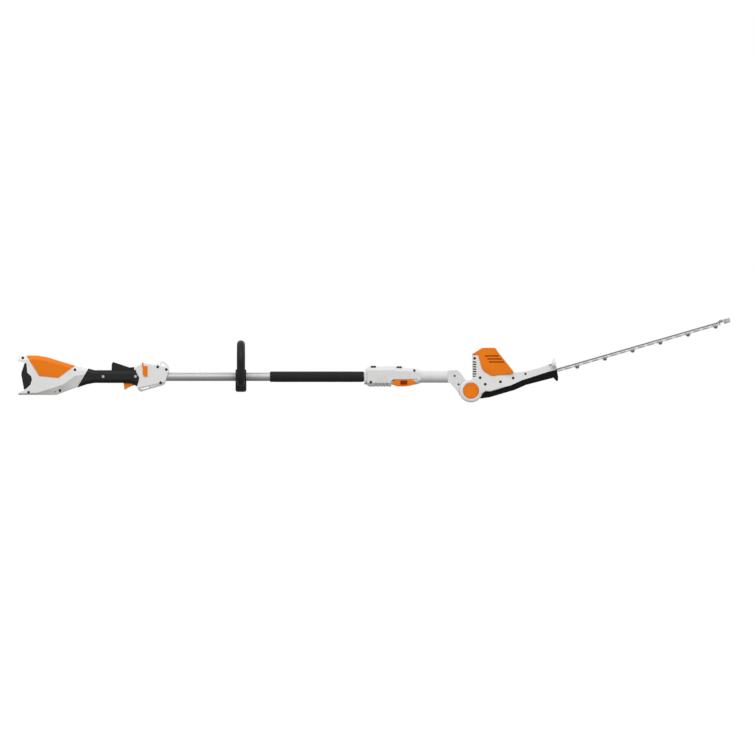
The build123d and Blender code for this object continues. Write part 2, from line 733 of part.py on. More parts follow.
def pivot_cap():
    """Matching cap in the left cheek."""
    disc = rod_y(0, 0, BUTTON_R + 0.2, BUTTON_SEAT + 3.5, 33.2)
    disc = fillet([e for e in disc.edges() if e.center().Y > 33], 1.6)
    return disc - rod_y(0, 0, 16.5, 32.4, 34)


# ---------------------------------------------------------------- head (u, w)
HEAD_OUTLINE = [
    (13.7, 33.8),
    (33.0, 101.0),
    (46.0, 102.6),
    (66.0, 108.2),
    (100.0, 98.6),
    (101.6, 90.0),
    (130.6, 22.0),
    (136.0, 14.8),
    (173.0, 8.8),
    (204.0, 8.1),
    (236.0, 8.9),
    (248.0, 3.3),
    (256.0, 3.0),
    (256.0, -10.9),
    (232.0, -9.8),
    (170.0, -11.9),
    (152.0, -12.3),
    (118.0, -17.4),
    (74.0, -18.6),
    (54.0, -18.3),
    (41.6, -13.5),
    (20.0, -20.0),
    (0.0, -10.0),
    (0.0, 20.0),
]
HEAD_EDGE = [(-40, 31.5), (96, 31.5), (142, 24.5), (262, 20.5)]
HEAD_INNER = [
    (24.0, 34.0),
    (37.5, 96.0),
    (48.0, 99.0),
    (66.0, 104.0),
    (96.0, 95.0),
    (98.0, 89.0),
    (127.0, 20.0),
    (134.0, 11.8),
    (136.0, -12.0),
    (118.0, -14.6),
    (74.0, -15.8),
    (52.0, -15.4),
    (44.0, -8.0),
    (44.0, 20.0),
]
COVER_OUTLINE = [
    (33.2, 101.4),
    (45.7, 105.2),
    (57.0, 108.6),
    (67.0, 111.0),
    (99.6, 101.9),
    (104.0, 99.0),
    (106.6, 89.0),
    (134.9, 20.6),
    (134.6, 17.0),
    (131.0, 14.0),
    (85.0, 21.9),
    (76.7, 22.2),
    (66.8, 27.2),
    (52.5, 43.6),
    (49.2, 50.5),
    (48.4, 58.0),
    (48.6, 70.0),
    (48.9, 95.6),
    (35.5, 98.2),
]
COVER_HALF = 34.2
COVER_IN = 31.8
MOTOR_WINDOW = [(58, 46), (58, 92), (66, 97), (92, 90), (116, 34), (80, 32)]
LOUVRE_SEAT = [(57, 44.5), (57, 92.5), (66, 98), (99.6, 91), (124.6, 32), (79.5, 30.5)]
LOUVRE_TRAY = [(58, 45.8), (58, 91.8), (66.4, 96.8), (98.9, 90.2), (123.3, 32.8), (80, 31.5)]
LOUVRE_IN, LOUVRE_FLOOR = 28.8, 30.0
HEAD_SCREWS = [
    (36.6, 87.6, 31.2, 14),
    (36.2, 28.6, 31.2, 14),
    (45.4, 6.2, 31.2, 14),
    (90.2, 0.7, 31.2, -22),
    (128.9, 0.9, 26.2, 14),
]
ARM_SCREW = (167.0, 2.4, 23.0, 14)
ARM_SCREW_HEAD_R = 3.4
GUARD_BOLT_U = 242.8
GRILLE_LOW, GRILLE_HIGH = 35.6, 81.8
BUMPER_OUTLINE = [
    (17.5, -22.0),
    (41.6, -13.8),
    (54.0, -18.6),
    (74.0, -18.9),
    (118.0, -17.7),
    (152.0, -12.6),
    (170.0, -12.2),
    (232.0, -10.1),
    (258.6, -10.8),
    (256.6, -33.0),
    (253.0, -42.9),
    (248.4, -42.9),
    (243.4, -31.2),
    (158.8, -29.0),
    (124.6, -33.8),
    (48.0, -34.3),
    (20.5, -30.5),
]


def head_plan(inset, low, high):
    """Plan view of the head, drawn in by an amount, from one height to another."""
    edge = [(u, y - inset) for u, y in HEAD_EDGE]
    return plan(edge + [(u, -y) for u, y in reversed(edge)], low, high)


def rear_edge(w):
    """The u of the motor tower's rear edge at a height w."""
    (low_u, low_w), (high_u, high_w) = HEAD_OUTLINE[0], HEAD_OUTLINE[1]
    return low_u + (w - low_w) * (high_u - low_u) / (high_w - low_w)


def blade_channel():
    """Passage for the cutting gear through the head's underside."""
    drive = block((62, 149.5), (-21.5, 21.5), (-19.4, -7.4))
    return drive + block((130, 300), (-15.5, 15.5), (-19.4, -7.4))


def cover_slots():
    """Three level air slots in each side of the motor cover, drawn in the head's frame."""
    slots = []
    for z, x_low, x_high in ((60.6, 715, 755), (51.8, 722, 762.5), (42.9, 727, 770)):
        for side in (-1, 1):
            slots.append(block((x_low, x_high), y_pair(side, LOUVRE_FLOOR, 60), (z - 2.2, z + 2.2)))
    return Rot(0, HEAD_ANGLE, 0) * Pos(-PIVOT_X, 0, -PIVOT_Z) * joined(slots)


def rear_slots():
    """Row of air slots round the rear edge of the head, parallel to each other."""
    slots = []
    count = 7
    for i in range(count):
        w = GRILLE_LOW + 3 + i * (GRILLE_HIGH - GRILLE_LOW - 6) / (count - 1)
        slots.append(Pos(rear_edge(w) + 2.5, 0, w) * Rot(0, 20, 0) * Box(19, 80, 3.9))
    return joined(slots)


def grille_room(gap):
    """Space right behind the rear air slots, drawn in by a gap."""
    low, high = GRILLE_LOW + gap, GRILLE_HIGH - gap
    near, far = 1.8 + gap, 13.5 - gap
    points = [
        (rear_edge(low) + near, low),
        (rear_edge(high) + near, high),
        (rear_edge(high) + far, high),
        (rear_edge(low) + far, low),
    ]
    return slab(points, -28.6 + gap, 28.6 - gap)


def gear_housing():
    """Two-part head shell: motor tower, gear case, arm and the two round cheeks."""
    arm = soft_rims(slab(HEAD_OUTLINE, -CHEEK_OUT, CHEEK_OUT, 1.5), CHEEK_OUT, 3.0)
    arm = arm & head_plan(0, -60, 140)
    boss = soft_disc(rod_y(0, 0, BOSS_R, -CHEEK_OUT, CHEEK_OUT), 6.0)
    outer = arm + boss + rod_y(0, 0, 27.8, -CHEEK_OUT - 0.8, CHEEK_OUT + 0.8)
    body = outer - (slab(HEAD_INNER, -28.5, 28.5) & head_plan(2.9, -60, 140))
    body = body + (slab([(44, -8), (44, 26), (40, 26), (40, -8)], -28.6, 28.6) & outer)
    body = body + (bosses(HEAD_SCREWS + [ARM_SCREW], 5.5, 40) & outer)
    body = body - slab(MOTOR_WINDOW, -60, 60) - grille_room(0) - rear_slots() - blade_channel()
    for side in (-1, 1):
        body = body - slab(LOUVRE_SEAT, *y_pair(side, LOUVRE_IN - 0.2, 60))
        body = body - rod_y(0, 0, BUTTON_R + BUTTON_GAP, *y_pair(side, BUTTON_SEAT, 60))
    body = body - rod_y(0, 0, BOSS_R + 1.0, -CHEEK_IN, CHEEK_IN)
    body = body - rod_y(0, 0, PIVOT_R + 0.05, -40, 40) - plungers(PLUNGER_R + 0.3, -25, -19)
    body = body - rod_z(CRANK_U, 0, 20.5, -8.5, 11.6) - rod_z(MOTOR_U, 0, 7.5, -8.5, 9)
    body = body - rod_z(GUARD_BOLT_U, 0, 6.1, 4.6, 20) - rod_z(GUARD_BOLT_U, 0, 3.1, -20, 20)
    for place in HEAD_SCREWS:
        body = body - screw_hole(*place)
    return body - screw_hole(*ARM_SCREW, ARM_SCREW_HEAD_R)


def motor_cover():
    """Coloured hood over the motor tower with three louvred air slots a side."""
    outer = soft_rims(slab(COVER_OUTLINE, -COVER_HALF, COVER_HALF, 1.5), COVER_HALF, 2.0)
    inner = slab(HEAD_OUTLINE, -COVER_IN, COVER_IN)
    scraped = Pos(0.4, 0, 0.5) * slab(HEAD_OUTLINE, -COVER_IN, COVER_IN)
    body = outer - inner - scraped - block((124, 140), (-COVER_IN, COVER_IN), (0, 26))
    for side in (-1, 1):
        body = body + slab(LOUVRE_TRAY, *y_pair(side, LOUVRE_IN, COVER_IN + 0.5))
    return body - cover_slots()


def air_grille():
    """Dark baffle right behind the rear air slots."""
    return grille_room(0.1)


def motor_can():
    """Motor casing with its end shield; the rotor turns inside."""
    body = rod_z(MOTOR_U, 0, 22, 26, 78) - rod_z(MOTOR_U, 0, 18.5, 29, 90)
    for i in range(12):
        fin = Pos(MOTOR_U, 0, 52) * Rot(0, 0, i * 30) * Pos(22.2, 0, 0) * Box(2.0, 2.4, 46)
        body = body + fin
    return body - rod_z(MOTOR_U, 0, 5, 10, 40)


def toothed_disc(teeth, z_low, z_high):
    """A spur gear with straight-flanked teeth."""
    pitch_r = teeth * MODULE / 2
    root_r = pitch_r - 0.9 * MODULE
    tip_r = pitch_r + 0.6 * MODULE
    points = []
    for i in range(teeth):
        middle = 2 * math.pi * i / teeth
        step = 2 * math.pi / teeth
        for offset, radius in ((-0.32, root_r), (-0.14, tip_r), (0.14, tip_r), (0.32, root_r)):
            angle = middle + offset * step
            points.append((radius * math.cos(angle), radius * math.sin(angle)))
    return extrude(Plane.XY.offset(z_low) * outline(points), z_high - z_low)


def rotor():
    """Motor rotor: core, shaft, pinion and fan."""
    shaft = rod_z(0, 0, 2.5, -1, 84)
    core = rod_z(0, 0, 17.4, 34, 74)
    fan = rod_z(0, 0, 6, 80, 86)
    for i in range(8):
        fan = fan + Rot(0, 0, i * 45) * Pos(11, 0, 83) * Rot(28, 0, 0) * Box(12, 1.6, 5)
    pinion = toothed_disc(PINION_TEETH, 0, 8)
    return Pos(MOTOR_U, 0, 0) * (shaft + core + fan + pinion)


def crank_gear():
    """Reduction gear with its two opposed eccentrics."""
    gear = toothed_disc(GEAR_TEETH, 1, 7) + rod_z(0, 0, 8, -11, 1)
    upper = rod_z(0, STROKE, ECCENTRIC_R, -15.3, -11)
    lower = rod_z(0, -STROKE, ECCENTRIC_R, LOWER_BOTTOM, -15.3)
    body = gear + upper + lower - rod_z(0, 0, 4 + FIT, -10, 20)
    for i in range(6):
        angle = math.radians(60 * i + 30)
        body = body - rod_z(13 * math.cos(angle), 13 * math.sin(angle), 3, 0, 10)
    return Pos(CRANK_U, 0, 0) * body


def crank_axle():
    """Bridge plate under the motor with the gear's axle pressed in."""
    plate = block((56, 122), (-24, 24), (12, 15)) - rod_z(MOTOR_U, 0, 5, 10, 20)
    return plate + rod_z(CRANK_U, 0, 4, -9.5, 12) + rod_z(CRANK_U, 0, 7, 8.0, 12)


def bumper():
    """Black wear strip along the underside of the head, with its rear fin."""
    outer = soft_rims(slab(BUMPER_OUTLINE, -25, 25, 1.0), 25, 2.0)
    edge = [(0, 25), (142, 25), (262, 22)]
    limit = plan(edge + [(u, -y) for u, y in reversed(edge)], -60, 10)
    body = (outer & limit) - rod_y(0, 0, BOSS_R + 0.3, -40, 40)
    room = slab([(60, -27), (60, -10), (240, -10), (240, -26.2), (160, -25), (124, -26.5)], -19, 19)
    room = room - block((60, 240), (-1.5, 1.5), (-40, -21.5))
    return body - room - blade_channel()


def hand_guard():
    """Upright guard across the front of the head, wedge-shaped from the side."""
    side = [
        (256.05, -7.0),
        (256.05, 3.4),
        (249.0, 3.6),
        (247.4, 6.0),
        (257.6, 22.0),
        (261.4, 24.0),
        (262.6, 22.2),
        (260.8, 4.0),
        (259.6, -7.0),
    ]
    front = station(240, [(34, -12.0), (40, -2), (40, 12), (27, 24.0)], 4)
    body = slab(side, -40, 40, 0.3) & extrude(front, 40)
    return body - rod_z(GUARD_BOLT_U, 0, 6.3, 0, 30)


# ---------------------------------------------------------------- cutting gear (u, w)
def slot_u(u_centre, half_length, radius, w_low, w_high):
    """A slot along the blade with round ends, as a solid."""
    return joined([
        block((u_centre - half_length, u_centre + half_length), (-radius, radius), (w_low, w_high)),
        rod_z(u_centre - half_length, 0, radius, w_low, w_high),
        rod_z(u_centre + half_length, 0, radius, w_low, w_high),
    ])


def blade_outline(offset):
    """Plan of a blade: rear yoke, spine and two rows of teeth, as one closed outline."""
    upper = [(BLADE_REAR, 20.0), (133.0, 20.0), (140.0, 13.5), (256.0, 13.5), (262.0, SPINE_HALF)]
    for i in range(TOOTH_COUNT):
        u = TOOTH_START + offset + i * TOOTH_PITCH
        upper += [(u - 6.5, SPINE_HALF), (u - 4.2, TOOTH_REACH - 1.5), (u - 2.6, TOOTH_REACH)]
        upper += [(u + 2.6, TOOTH_REACH), (u + 4.2, TOOTH_REACH - 1.5), (u + 6.5, SPINE_HALF)]
    upper += [(BLADE_FRONT - 4, SPINE_HALF), (BLADE_FRONT, SPINE_HALF - 4)]
    return upper + [(u, -y) for u, y in reversed(upper)]


def blade(offset, w_low, w_high):
    """A toothed blade with its yoke window and guide slots."""
    body = extrude(Plane.XY.offset(w_low) * outline(blade_outline(offset)), w_high - w_low)
    window = block((CRANK_U - 23.2, CRANK_U + 23.2), (-16, 16), (w_low - 1, w_high + 1))
    body = body - window
    for i in range(BOLT_COUNT):
        body = body - slot_u(BOLT_START + i * BOLT_STEP, STROKE + 0.3, 3.4, w_low - 1, w_high + 1)
    return body


def guide_bar():
    """Bar above the blades that the bolts are fixed to."""
    edge = [(151, 14), (258, 14), (266, 9), (762, 9), (765, 6)]
    body = plan(edge + [(u, -y) for u, y in reversed(edge)], BAR_BOTTOM, BAR_TOP, 1.5)
    bolts = [BOLT_START + i * BOLT_STEP for i in range(BOLT_COUNT)]
    for u in bolts:
        body = body - rod_z(u, 0, BOLT_HEAD_R + 0.1, BAR_TOP - 2, 0)
    for u in bolts + [GUARD_BOLT_U]:
        body = body - rod_z(u, 0, 3.1, -20, 0)
    return body - rod_z(TIP_RIVET_U, 0, TIP_RIVET_R + 0.05, -20, 0)


def bar_bolts():
    """Six bolts with heads sunk in the bar, and nuts and washers under the blades."""
    top = BAR_TOP - 1.95
    bodies = []
    for i in range(BOLT_COUNT):
        u = BOLT_START + i * BOLT_STEP
        head = rod_z(u, 0, BOLT_HEAD_R, top, top + 1.8)
        nut = Pos(u, 0, -23.2) * extrude(RegularPolygon(5.6, 6), 4)
        washer = rod_z(u, 0, 7.0, -19.3, -18.5)
        bodies.append(joined([head, rod_z(u, 0, 3.0, -25.0, top + 0.5), nut, washer]))
    return joined(bodies)


def guard_bolt():
    """Domed bolt that holds the guide bar in the arm, behind the hand guard."""
    head = rod_z(GUARD_BOLT_U, 0, 5.8, 4.7, 9.6)
    head = fillet([e for e in head.edges() if e.center().Z > 9.5], 2.2)
    return head + rod_z(GUARD_BOLT_U, 0, 3.0, BAR_BOTTOM, 5.0)


def tip_guard():
    """Blunt tip over the blade's end: a plate riveted on the bar and two round lobes."""
    plate_top = BAR_TOP + 2.6
    plate = plan([(752, -8.5), (768, -12), (768, 12), (752, 8.5)], BAR_TOP, plate_top, 1.0)
    lobes = rod_z(777.3, -7.5, 9.5, -18.4, -5.0) + rod_z(777.3, 7.5, 9.5, -18.4, -5.0)
    lobes = lobes + block((766.6, 779), (-14, 14), (BAR_BOTTOM - 1, plate_top))
    body = plate + (lobes - block((700, 766.5), (-20, 20), (-40, BAR_TOP)))
    body = body - rod_z(TIP_RIVET_U, 0, TIP_RIVET_R + 0.05, -20, 0)
    return fillet([e for e in body.edges() if e.center().Z < -18.3], 1.2)


def tip_rivet():
    """Rivet that holds the tip on the bar."""
    plate_top = BAR_TOP + 2.6
    head = fillet(rod_z(TIP_RIVET_U, 0, 3.8, plate_top, plate_top + 1.8).edges().sort_by(Axis.Z)[-1], 0.8)
    return head + rod_z(TIP_RIVET_U, 0, TIP_RIVET_R, BAR_BOTTOM, plate_top + 0.5)


# ---------------------------------------------------------------- small parts
def hinge_pins():
    """Pins of the latches, the trigger, the lockout lever and the clamp lever."""
    pins = [rod_z(LATCH_PIVOT_X, side * LATCH_PIVOT_Y, 1.2, -16.9, 6.9) for side in (-1, 1)]
    pins += [rod_y(*place, 2, -GRIP_PIN_HALF, GRIP_PIN_HALF) for place in (TRIGGER_PIVOT, LOCKOUT_PIVOT)]
    return joined(pins + [rod_y(*LEVER_PIVOT, LEVER_PIN_R, -LEVER_PIN_HALF, LEVER_PIN_HALF)])


def return_springs():
    """Coil spring on the trigger's pin and leaf springs behind the latches."""
    springs = []
    for y in (6.8, 7.3, 7.8):
        springs.append(Pos(TRIGGER_PIVOT[0], y, TRIGGER_PIVOT[1]) * Rot(90, 0, 0) * Torus(2.6, 0.24))
    springs += [block((-601, -593), y_pair(side, 40.2, 40.6), (-9, -1)) for side in (-1, 1)]
    return joined(springs)


def housing_screws():
    """Black screws of the battery housing, front housing and coupling."""
    screws = [screw(*place, 12) for place in BATTERY_SCREWS + FRONT_SCREWS + [COUPLING_SCREW]]
    return joined(screws + [mirror(screw(*COUPLING_FAR_SCREW, 12), Plane.XZ)])


def shaft_screws():
    """Grey screws of the collar and the neck."""
    screws = [screw(*place, 12, NECK_SCREW_HEAD_R) for place in NECK_SCREWS]
    return joined(screws + [screw(*COLLAR_SCREW, -14.5)])


# ---------------------------------------------------------------- write every node
right, left = halves(battery_housing())
save("battery_housing_right", right)
save("battery_housing_left", left)
save("battery_cover", battery_cover())
save("battery_guide", battery_guide())
save("latch_right", latch(-1))
save("latch_left", latch(1))
carrier, blades = contact_parts()
save("contact_block", carrier)
save("contact_blades", blades)
save("control_board", control_board())
right, left = halves(grip())
save("grip_right", right)
save("grip_left", left)
save("grip_screws", joined([screw(x, z, 16.6, 10) for x, z in GRIP_SCREWS]))
save("trigger", trigger())
save("lockout_lever", lockout_lever())
save("trigger_switch", trigger_switch())
right, left = halves(front_housing())
save("front_housing_right", right)
save("front_housing_left", left)
save("strap_eyelet", strap_eyelet())
save("release_slide", release_slide())
save("rear_tube", tube_x(SHAFT_R, SHAFT_R - SHAFT_WALL, -275, BORE_START))
save("power_cable", rod_x(3.5, -290, 395.5))
save("loop_handle", loop_handle())
save("loop_clamp", loop_clamp())
save("loop_screws", loop_screws())
save("foam_sleeve", tube_x(15.7, SHAFT_R + 0.05, 85, 360))
right, left = halves(coupling())
save("coupling_right", right)
save("coupling_left", left)
save("coupling_pads", coupling_pads())
save("coupling_socket", coupling_socket())
save("clamp_lever", clamp_lever())
save("lever_lock", lever_lock())
save("housing_screws", housing_screws())
save("hinge_pins", hinge_pins())
save("return_springs", return_springs())
save("front_collar", front_collar())
save("spigot_tube", spigot_tube())
save("shaft_lead", shaft_lead())
save("front_tube", tube_x(FRONT_TUBE_R, FRONT_TUBE_R - FRONT_TUBE_WALL, 504.2, 622))
right, left = halves(neck())
save("neck_right", right)
save("neck_left", left)
save("shaft_screws", shaft_screws())
save("pivot_axle", HEAD * pivot_axle())
save("tilt_button", HEAD * tilt_button())
save("pivot_cap", HEAD * pivot_cap())
right, left = halves(gear_housing())
save("gear_housing_right", HEAD * right)
save("gear_housing_left", HEAD * left)
save("motor_cover", HEAD * motor_cover())
save("air_grille", HEAD * air_grille())
save("motor_can", HEAD * motor_can())
save("rotor", HEAD * rotor())
save("crank_gear", HEAD * crank_gear())
save("crank_axle", HEAD * crank_axle())
save("head_screws", HEAD * joined([screw(*place) for place in HEAD_SCREWS]))
save("arm_screw", HEAD * screw(*ARM_SCREW, ARM_SCREW_HEAD_R))
save("bumper", HEAD * bumper())
save("hand_guard", HEAD * hand_guard())
save("guide_bar", HEAD * guide_bar())
save("bar_bolts", HEAD * bar_bolts())
save("guard_bolt", HEAD * guard_bolt())
save("blade_upper", HEAD * blade(0, UPPER_BOTTOM, UPPER_TOP))
save("blade_lower", HEAD * blade(-TOOTH_PITCH / 2, LOWER_BOTTOM, LOWER_TOP))
save("tip_guard", HEAD * tip_guard())
save("tip_rivet", HEAD * tip_rivet())
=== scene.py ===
import json
import math

import bmesh
import bpy
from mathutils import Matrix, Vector, noise


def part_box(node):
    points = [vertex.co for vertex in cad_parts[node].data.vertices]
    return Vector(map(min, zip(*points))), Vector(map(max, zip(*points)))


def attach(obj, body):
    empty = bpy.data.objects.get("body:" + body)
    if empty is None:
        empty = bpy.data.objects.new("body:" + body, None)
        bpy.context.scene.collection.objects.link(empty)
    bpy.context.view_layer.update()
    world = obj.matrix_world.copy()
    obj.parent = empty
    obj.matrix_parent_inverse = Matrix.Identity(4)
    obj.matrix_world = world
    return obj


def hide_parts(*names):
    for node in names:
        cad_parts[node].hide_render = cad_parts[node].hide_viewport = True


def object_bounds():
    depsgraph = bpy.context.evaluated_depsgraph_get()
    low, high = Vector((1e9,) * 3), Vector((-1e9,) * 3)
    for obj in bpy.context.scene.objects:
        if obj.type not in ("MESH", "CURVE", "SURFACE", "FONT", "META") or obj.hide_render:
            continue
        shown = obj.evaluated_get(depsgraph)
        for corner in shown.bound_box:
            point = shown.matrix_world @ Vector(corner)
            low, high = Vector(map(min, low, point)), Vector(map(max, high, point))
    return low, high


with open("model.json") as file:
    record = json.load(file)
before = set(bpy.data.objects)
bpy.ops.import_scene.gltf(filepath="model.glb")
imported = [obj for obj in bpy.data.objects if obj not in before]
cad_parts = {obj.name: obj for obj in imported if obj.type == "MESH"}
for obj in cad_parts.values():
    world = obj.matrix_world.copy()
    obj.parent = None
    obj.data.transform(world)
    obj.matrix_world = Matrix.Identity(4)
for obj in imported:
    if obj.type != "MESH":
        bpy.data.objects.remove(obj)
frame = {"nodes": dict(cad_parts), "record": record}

cad_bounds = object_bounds()
record = frame["record"]
MM = 0.001

NOISE_LOW, NOISE_HIGH = 0.3, 0.7
# Painted shade in crevices: how far it looks for the piece's own nearby surfaces, and the occlusion range it
# darkens over.
CREVICE_SHADE_REACH = 7 * MM
AO_LOW, AO_HIGH = 0.3, 0.75

# Stretch of the fine lines in brushed metal: along the poles, and across the blades.
ALONG_SHAFT = (0.02, 1, 1)
ACROSS_BLADE = (1, 0.05, 0.15)
EVEN = (1, 1, 1)


# --- building blocks ----------------------------------------------------------------------

def mesh_object(name, bm, material, smooth=True):
    """A bmesh turned into an object in the scene, with one material."""
    data = bpy.data.meshes.new(name)
    bm.to_mesh(data)
    bm.free()
    for face in data.polygons:
        face.use_smooth = smooth
    data.materials.append(material)
    piece = bpy.data.objects.new(name, data)
    bpy.context.scene.collection.objects.link(piece)
    return piece


class Finish:
    """A Principled material whose colour, roughness and bump come from procedural nodes in object space."""

    def __init__(self, name, metallic=0.0, **sockets):
        self.material = bpy.data.materials.new(name)
        self.material.use_nodes = True
        self.nodes = self.material.node_tree.nodes
        self.links = self.material.node_tree.links
        self.shader = self.nodes["Principled BSDF"]
        self.shader.inputs["Metallic"].default_value = metallic
        for socket, value in sockets.items():
            self.shader.inputs[socket.replace("_", " ")].default_value = value
        self.place = self.nodes.new("ShaderNodeTexCoord").outputs["Object"]
        self.height = None

    def scaled(self, stretch):
        """Object coordinates stretched by a factor along each axis."""
        mapping = self.nodes.new("ShaderNodeMapping")
        mapping.inputs["Scale"].default_value = stretch
        self.links.new(self.place, mapping.inputs["Vector"])
        return mapping.outputs["Vector"]

    def noise(self, size, detail=2.0, stretch=EVEN):
        """Noise whose features are about size metres across."""
        node = self.nodes.new("ShaderNodeTexNoise")
        node.inputs["Scale"].default_value = 1 / size
        node.inputs["Detail"].default_value = detail
        self.links.new(self.scaled(stretch), node.inputs["Vector"])
        return node.outputs["Fac"]

    def cells(self, size, feature="F1"):
        """Rounded cells about size metres across."""
        node = self.nodes.new("ShaderNodeTexVoronoi")
        node.feature = feature
        node.inputs["Scale"].default_value = 1 / size
        self.links.new(self.place, node.inputs["Vector"])
        return node.outputs["Distance"]

    def ramp(self, value, stops, colours):
        """A value turned into colours between the given stops."""
        node = self.nodes.new("ShaderNodeValToRGB")
        elements = node.color_ramp.elements
        while len(elements) < len(stops):
            elements.new(0.5)
        for element, stop, colour in zip(elements, stops, colours):
            element.position = stop
            element.color = (*colour, 1)
        self.links.new(value, node.inputs["Fac"])
        return node.outputs["Color"]

    def spread(self, value, low, high):
        """The usual range of a noise value stretched to run from low to high."""
        node = self.nodes.new("ShaderNodeMapRange")
        node.inputs["From Min"].default_value = NOISE_LOW
        node.inputs["From Max"].default_value = NOISE_HIGH
        node.inputs["To Min"].default_value = low
        node.inputs["To Max"].default_value = high
        self.links.new(value, node.inputs["Value"])
        return node.outputs["Result"]

    def colour(self, value, stops, colours):
        """The base colour as a value turned into colours between the given stops."""
        self.links.new(self.ramp(value, stops, colours), self.shader.inputs["Base Color"])

    def mottled(self, size, colour, shade):
        """A broad, faint mottling between the colour and a darker shade of it."""
        dark = tuple(c * shade for c in colour)
        self.colour(self.noise(size, detail=3), (NOISE_LOW, NOISE_HIGH), (dark, colour))

    def painted_crevice_shade(self, darkest):
        """Painted shade: darkens the base colour in the piece's own narrow slots and corners, where shade would
        fall.
        """
        node = self.nodes.new("ShaderNodeAmbientOcclusion")
        node.only_local = True
        node.samples = 8
        node.inputs["Distance"].default_value = CREVICE_SHADE_REACH
        shade = self.ramp(node.outputs["AO"], (AO_LOW, AO_HIGH), ((darkest,) * 3, (1, 1, 1)))
        mix = self.nodes.new("ShaderNodeMix")
        mix.data_type = "RGBA"
        mix.blend_type = "MULTIPLY"
        mix.inputs["Factor"].default_value = 1
        base = self.shader.inputs["Base Color"]
        before, over = (socket for socket in mix.inputs if socket.type == "RGBA")
        self.links.new(base.links[0].from_socket, before)
        self.links.new(shade, over)
        self.links.new(next(socket for socket in mix.outputs if socket.type == "RGBA"), base)

    def rough(self, value, low, high):
        """The roughness as a noise value that runs from low to high."""
        self.links.new(self.spread(value, low, high), self.shader.inputs["Roughness"])

    def bump(self, value, depth, strength=1.0):
        """Adds relief depth metres high; several calls stack up."""
        node = self.nodes.new("ShaderNodeBump")
        node.inputs["Strength"].default_value = strength
        node.inputs["Distance"].default_value = depth
        self.links.new(value, node.inputs["Height"])
        if self.height is not None:
            self.links.new(self.height, node.inputs["Normal"])
        self.height = node.outputs["Normal"]
        self.links.new(self.height, self.shader.inputs["Normal"])


def moulded(name, colour, rough, grain, depth, shade=0.9, crevice_shade=0.3, **sockets):
    """Moulded plastic: faint flow marks, a spark-eroded grain, patchy gloss and painted shade darkening its
    crevices.
    """
    finish = Finish(name, **sockets)
    finish.mottled(60 * MM, colour, shade)
    # Painted shade: the piece's own slots and corners are darkened in the base colour.
    finish.painted_crevice_shade(crevice_shade)
    finish.rough(finish.noise(18 * MM, detail=4), *rough)
    finish.bump(finish.cells(grain), depth, 0.5)
    finish.bump(finish.noise(grain * 0.6, detail=3), depth * 0.6, 0.5)
    return finish.material


def brushed(name, colour, rough, stretch, depth, shade=0.82, metallic=1.0, **sockets):
    """Metal with fine lines drawn along one axis, in its colour, gloss and relief."""
    finish = Finish(name, metallic=metallic, **sockets)
    lines = finish.noise(1.2 * MM, detail=3, stretch=stretch)
    dark = tuple(c * shade for c in colour)
    finish.colour(lines, (0.25, 0.75), (dark, colour))
    finish.rough(finish.noise(2.5 * MM, detail=4, stretch=stretch), *rough)
    finish.bump(lines, depth, 0.6)
    return finish.material


def painted(name, colour, rough, orange_peel, depth, shade=0.94, **sockets):
    """Powder coat or lacquer: a soft orange-peel surface over metal."""
    finish = Finish(name, **sockets)
    finish.mottled(45 * MM, colour, shade)
    finish.rough(finish.noise(9 * MM, detail=3), *rough)
    finish.bump(finish.noise(orange_peel, detail=2), depth, 0.5)
    return finish.material


def foam_material(name):
    """Closed-cell foam rubber: dark, dull, with small open pores in the skin."""
    finish = Finish(name, Sheen_Weight=0.05, Sheen_Roughness=0.6, Specular_IOR_Level=0.2)
    pores = finish.cells(1.1 * MM)
    finish.colour(pores, (0.05, 0.45), ((0.006, 0.006, 0.006), (0.018, 0.018, 0.019)))
    finish.rough(finish.noise(12 * MM, detail=4), 0.72, 0.9)
    finish.bump(finish.noise(9 * MM, detail=3), 0.25 * MM, 0.6)
    finish.bump(pores, 0.16 * MM, 0.7)
    return finish.material


def board_material(name):
    """Green solder mask with a faint pattern of tracks below it."""
    finish = Finish(name, Coat_Weight=0.3)
    tracks = finish.cells(2.4 * MM, "DISTANCE_TO_EDGE")
    finish.colour(tracks, (0.02, 0.08), ((0.03, 0.15, 0.05), (0.012, 0.09, 0.035)))
    finish.rough(finish.noise(5 * MM), 0.3, 0.45)
    finish.bump(tracks, 0.04 * MM, 0.4)
    return finish.material


# --- materials, one for each slot of the record ------------------------------------------

